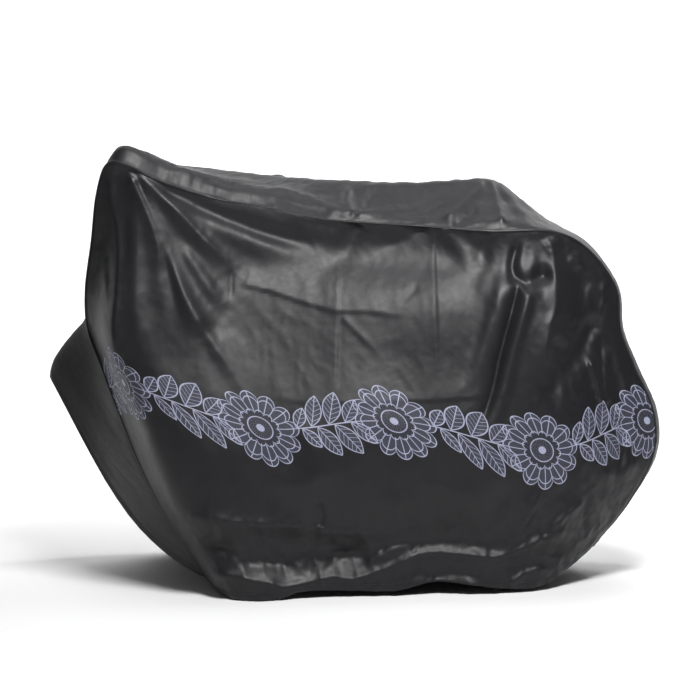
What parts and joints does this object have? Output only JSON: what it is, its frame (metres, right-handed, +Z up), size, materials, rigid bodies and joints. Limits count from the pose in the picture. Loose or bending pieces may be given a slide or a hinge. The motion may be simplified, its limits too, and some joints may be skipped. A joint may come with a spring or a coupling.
{
  "type": "bicycle cover",
  "caption": "Thin fitted cloth cover draped over a bicycle side on: two side panels and a gusset strip over grips and saddle, hollow and open below.",
  "frame": {"origin": "on the ground, under the middle of the cover's length and width; the hem's lowest point is at Z = 0", "axes": "+X towards the bicycle's rear, +Y away from the near side, towards the far side, +Z up"},
  "size_m": [1.5514, 0.6707, 1.0377],
  "materials": {
    "printed_side_cloth": "thin coated black polyester with a soft gloss, fold creases and a printed band of pale grey-lavender and slate motifs",
    "plain_side_cloth": "the same coated black polyester, on the far side",
    "gusset_cloth": "the same coated black polyester, duller where it hangs over the front wheel"
  },
  "bodies": {
    "root": {"near_side_panel": "printed_side_cloth", "far_side_panel": "plain_side_cloth", "top_gusset": "gusset_cloth"}
  },
  "joints": []
}
